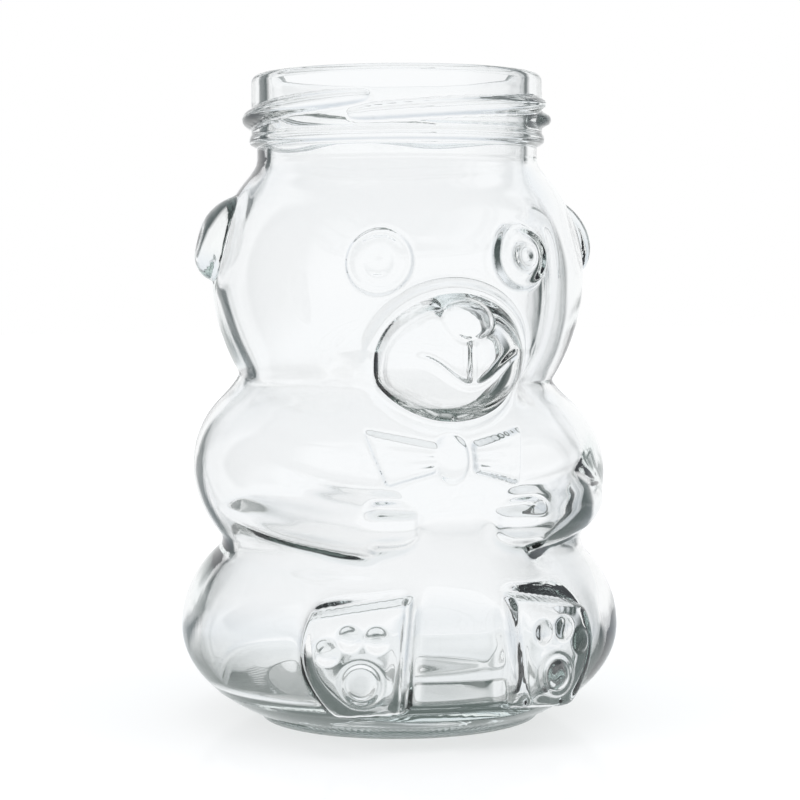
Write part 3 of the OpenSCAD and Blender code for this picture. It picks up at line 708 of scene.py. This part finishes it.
def soda_lime_glass():
    """Clear glass with a faint green body colour."""
    material, tree = new_material("clear_soda_lime_glass")
    place = add(tree, "ShaderNodeTexCoord")
    ripple = add(
        tree,
        "ShaderNodeTexNoise",
        {"Scale": 1 / (RIPPLE_MM * MM), "Detail": 1.0, "Roughness": 0.4},
        {"Vector": place.outputs["Object"]},
    )
    bump = add(
        tree,
        "ShaderNodeBump",
        {"Strength": 0.35, "Distance": 0.00012},
        {"Height": ripple.outputs["Fac"]},
    )
    surface = add(
        tree,
        "ShaderNodeBsdfPrincipled",
        {
            "Base Color": linear("#ffffff"),
            "Roughness": 0.0,
            "IOR": GLASS_IOR,
            "Transmission Weight": 1.0,
        },
        {"Normal": bump.outputs["Normal"]},
    )
    clear = add(tree, "ShaderNodeBsdfTransparent", {"Color": linear("#eef2f1")})
    path = add(tree, "ShaderNodeLightPath")
    mix = add(
        tree,
        "ShaderNodeMixShader",
        None,
        {0: path.outputs["Is Shadow Ray"], 1: surface.outputs[0], 2: clear.outputs[0]},
    )
    body = add(
        tree, "ShaderNodeVolumeAbsorption", {"Color": linear("#b6d4cc"), "Density": 6.0}
    )
    add(
        tree,
        "ShaderNodeOutputMaterial",
        None,
        {"Surface": mix.outputs[0], "Volume": body.outputs[0]},
    )
    return material


jar.data.materials.append(soda_lime_glass())
print("glass:", [m.name for m in jar.data.materials])

# %% [markdown]
# ## Stage
# Clear glass shows only what surrounds it. In the photograph the jar stands on a white sweep
# in front of a white wall, and the dark room beside that wall draws the dark lines along its
# edges. Here the world does that: white straight behind, and dark further round to the sides.
# The camera itself always sees white.

# %% Camera
CAMERA_A = -14.7
CAMERA_DIST, CAMERA_Z = 376.8, 74.9
CAMERA_DOWN, CAMERA_ROLL = 3.24, -0.3
FOCAL_PX, FRAME_PX, SENSOR_MM = 2207.0, 800.0, 36.0
MOVE_PX = 1.8


def make_camera():
    """The camera, where the photograph was taken from."""
    data = bpy.data.cameras.new("camera")
    data.sensor_width = SENSOR_MM
    data.lens = FOCAL_PX / FRAME_PX * SENSOR_MM
    data.shift_x = MOVE_PX / FRAME_PX
    data.clip_start, data.clip_end = 0.01, 50.0
    camera = bpy.data.objects.new("camera", data)
    turn = math.radians(CAMERA_A)
    ahead = Vector((math.sin(turn), -math.cos(turn), 0)) * CAMERA_DIST + Vector((0, 0, CAMERA_Z))
    camera.location = ahead * MM
    camera.rotation_mode = "QUATERNION"
    looks = Quaternion((0, 0, 1), turn) @ Quaternion((1, 0, 0), math.radians(90 - CAMERA_DOWN))
    camera.rotation_quaternion = looks @ Quaternion((0, 0, 1), math.radians(CAMERA_ROLL))
    bpy.context.scene.collection.objects.link(camera)
    bpy.context.scene.camera = camera
    return camera


camera = make_camera()
print("lens", round(camera.data.lens, 1), "mm")

# %% Where the light comes from
back_a = math.radians(-CAMERA_A)


def towards(turn, up):
    """The direction at an angle to the right of straight behind the jar, and up from level."""
    a, e = back_a + math.radians(turn), math.radians(up)
    return Vector((math.sin(a) * math.cos(e), math.cos(a) * math.cos(e), math.sin(e)))


def cone(tree, direction, axis, near, far):
    """1 for directions within near degrees of the axis, 0 from far degrees on."""
    unit = add(tree, "ShaderNodeVectorMath", None, {0: direction}, operation="NORMALIZE")
    dot = add(tree, "ShaderNodeVectorMath", {1: axis}, {0: unit.outputs[0]}, operation="DOT_PRODUCT")
    white, dark = (math.cos(math.radians(v)) for v in (near, far))
    return add(
        tree,
        "ShaderNodeMapRange",
        {"From Min": dark, "From Max": white},
        {"Value": dot.outputs["Value"]},
        interpolation_type="SMOOTHSTEP",
    ).outputs[0]


def mixed(tree, share, dark, light):
    """A colour between two, each a hex colour or another node's output."""
    node = add(tree, "ShaderNodeMix", data_type="RGBA")
    tree.links.new(share, node.inputs["Factor"])
    for key, colour in (("A", dark), ("B", light)):
        if isinstance(colour, str):
            node.inputs[key].default_value = linear(colour)
        else:
            tree.links.new(colour, node.inputs[key])
    return node.outputs["Result"]


def trapped(tree):
    """1 for light that was reflected inside the glass before it left, 0 for other light."""
    path = add(tree, "ShaderNodeLightPath")
    links = {0: path.outputs["Glossy Depth"], 1: path.outputs["Transmission Depth"]}
    return add(tree, "ShaderNodeMath", None, links, operation="MULTIPLY", use_clamp=True).outputs[0]


# %% Light that comes from around
OPEN_SHADE, OPEN_WHITE = "#dbe2e9", "#fdfeff"
OPEN_CONE, FRONT_CONE, SKY_CONE = (12.0, 55.0), (50.0, 85.0), (58.0, 82.0)
ROOM, GAP, WALL, FRONT, SKY = "#3c4744", "#59645f", "#ffffff", "#fdfeff", "#f0f4f8"
PANELS = (
    *((-50, WALL), (-43, ROOM), (-31, ROOM), (-26, WALL), (-8, WALL), (-3, GAP)),
    *((3, GAP), (8, WALL), (38, WALL), (45, ROOM)),
)


def panels(tree, direction):
    """The white panels and the dark gaps behind the jar, by the angle to the right of straight."""
    across = add(
        tree, "ShaderNodeVectorMath", {1: towards(90, 0)}, {0: direction}, operation="DOT_PRODUCT"
    )
    place = add(
        tree,
        "ShaderNodeMath",
        {1: 0.5, 2: 0.5},
        {0: across.outputs["Value"]},
        operation="MULTIPLY_ADD",
    )
    ramp = add(tree, "ShaderNodeValToRGB", None, {0: place.outputs[0]})
    stops = ramp.color_ramp.elements
    while len(stops) < len(PANELS):
        stops.new(0.5)
    for stop, (turn, colour) in zip(stops, PANELS):
        stop.position = (1 + math.sin(math.radians(turn))) / 2
        stop.color = linear(colour)
    return ramp.outputs["Color"]


def surroundings(tree, direction):
    """What the glass shows in a direction: nearly white, but a dark room for trapped light."""
    unit = add(tree, "ShaderNodeVectorMath", None, {0: direction}, operation="NORMALIZE").outputs[0]
    through = mixed(tree, cone(tree, unit, towards(0, 0), *OPEN_CONE), OPEN_SHADE, OPEN_WHITE)
    room = mixed(tree, cone(tree, unit, towards(180, 0), *FRONT_CONE), panels(tree, unit), FRONT)
    inside = mixed(tree, cone(tree, unit, towards(0, 90), *SKY_CONE), room, SKY)
    return mixed(tree, trapped(tree), through, inside)


def make_world():
    """White for the camera, and the surroundings for what the glass shows."""
    world = bpy.data.worlds.new("studio")
    world.use_nodes = True
    tree = world.node_tree
    tree.nodes.clear()
    place = add(tree, "ShaderNodeTexCoord")
    path = add(tree, "ShaderNodeLightPath")
    glass = surroundings(tree, place.outputs["Generated"])
    shown = mixed(tree, path.outputs["Is Camera Ray"], glass, "#ffffff")
    around = add(tree, "ShaderNodeBackground", {"Strength": 1.0}, {"Color": shown})
    add(tree, "ShaderNodeOutputWorld", None, {"Surface": around.outputs[0]})
    bpy.context.scene.world = world


make_world()

# %% Floor
FLOOR_HALF = 2.5
FLOOR_GLOW = 0.70
# Painted shade under the jar, for what the glass shows only. It is full up to the first distance and
# gone from the second. Its colour is dark for light that was reflected inside the glass, and pale for
# light that went straight through.
PAINTED_SHADE_FULL_MM, PAINTED_SHADE_END_MM = 30.0, 130.0
PAINTED_SHADE_TRAPPED, PAINTED_SHADE_THROUGH = "#5b6663", "#eef1f2"
NEAR_MM, FAR_MM = 60.0, 240.0
SHEEN_SHARE = 0.07
EYE_LEVEL = (0.0, 0.0, 0.05)


def white_sweep_with_painted_shade():
    """The white sweep: white for the camera, and for what the glass shows, a painted shade that darkens
    the floor under the jar.
    """
    material, tree = new_material("white_paper_sweep_painted_shade")
    place = add(tree, "ShaderNodeTexCoord").outputs["Object"]
    away = add(tree, "ShaderNodeVectorMath", None, {0: place}, operation="LENGTH")
    # How far the floor is from the painted shade under the jar: 0 close to the jar, 1 from the end
    # distance on.
    clear = add(
        tree,
        "ShaderNodeMapRange",
        {"From Min": PAINTED_SHADE_FULL_MM * MM, "From Max": PAINTED_SHADE_END_MM * MM},
        {"Value": away.outputs["Value"]},
        interpolation_type="SMOOTHSTEP",
    ).outputs[0]
    seen_from = add(tree, "ShaderNodeVectorMath", {1: EYE_LEVEL}, {0: place}, operation="SUBTRACT")
    far = surroundings(tree, seen_from.outputs[0])
    # The painted shade under the jar, much darker for light that was reflected inside the glass.
    painted_shade = mixed(tree, trapped(tree), PAINTED_SHADE_THROUGH, PAINTED_SHADE_TRAPPED)
    glass = add(tree, "ShaderNodeEmission", {"Strength": 1.0}, {"Color": mixed(tree, clear, painted_shade, far)})
    lit = add(
        tree,
        "ShaderNodeMapRange",
        {"From Min": NEAR_MM * MM, "From Max": FAR_MM * MM, "To Min": FLOOR_GLOW, "To Max": 1.0},
        {"Value": away.outputs["Value"]},
        interpolation_type="SMOOTHSTEP",
    ).outputs[0]
    glow = add(tree, "ShaderNodeEmission", {"Color": linear("#ffffff")}, {"Strength": lit})
    paper = add(tree, "ShaderNodeBsdfDiffuse", {"Color": linear("#8a8a8a")})
    both = add(tree, "ShaderNodeAddShader", None, {0: glow.outputs[0], 1: paper.outputs[0]})
    sheen = add(tree, "ShaderNodeBsdfGlossy", {"Roughness": 0.12})
    polished = add(
        tree, "ShaderNodeMixShader", {0: SHEEN_SHARE}, {1: both.outputs[0], 2: sheen.outputs[0]}
    )
    path = add(tree, "ShaderNodeLightPath")
    mix = add(
        tree,
        "ShaderNodeMixShader",
        None,
        {0: path.outputs["Is Camera Ray"], 1: glass.outputs[0], 2: polished.outputs[0]},
    )
    add(tree, "ShaderNodeOutputMaterial", None, {"Surface": mix.outputs[0]})
    return material


def make_floor():
    """A plain pale floor under the jar."""
    mesh = bpy.data.meshes.new("floor")
    h = FLOOR_HALF
    mesh.from_pydata([(-h, -h, 0), (h, -h, 0), (h, h, 0), (-h, h, 0)], [], [(0, 1, 2, 3)])
    floor = bpy.data.objects.new("floor", mesh)
    bpy.context.scene.collection.objects.link(floor)
    floor.data.materials.append(white_sweep_with_painted_shade())
    return floor


floor = make_floor()

# %% Lamps


def soft_box(name, turn, up, distance, size, power):
    """A large soft lamp that looks at the jar and lights only the floor."""
    data = bpy.data.lights.new(name, "AREA")
    data.shape = "RECTANGLE"
    data.size, data.size_y = size
    data.energy = power
    lamp = bpy.data.objects.new(name, data)
    lamp.visible_glossy = lamp.visible_transmission = False
    a, e = math.radians(turn), math.radians(up)
    aim = Vector((0, 0, 0.05))
    way = Vector((math.sin(a) * math.cos(e), -math.cos(a) * math.cos(e), math.sin(e)))
    lamp.location = aim + way * distance
    lamp.rotation_mode = "QUATERNION"
    lamp.rotation_quaternion = way.to_track_quat("Z", "Y")
    bpy.context.scene.collection.objects.link(lamp)
    return lamp


soft_box("softbox_left", -75, 35, 0.9, (0.5, 0.7), 4.0)
soft_box("softbox_right", 60, 40, 0.9, (0.5, 0.7), 3.0)
soft_box("softbox_top", 0, 85, 0.9, (0.6, 0.6), 3.0)

# %% Render settings that belong to the scene
scene = bpy.context.scene
scene.view_settings.view_transform = "Standard"
scene.cycles.caustics_reflective = False
scene.cycles.caustics_refractive = False
scene.cycles.max_bounces = 24
scene.cycles.transmission_bounces = 24
scene.cycles.glossy_bounces = 16
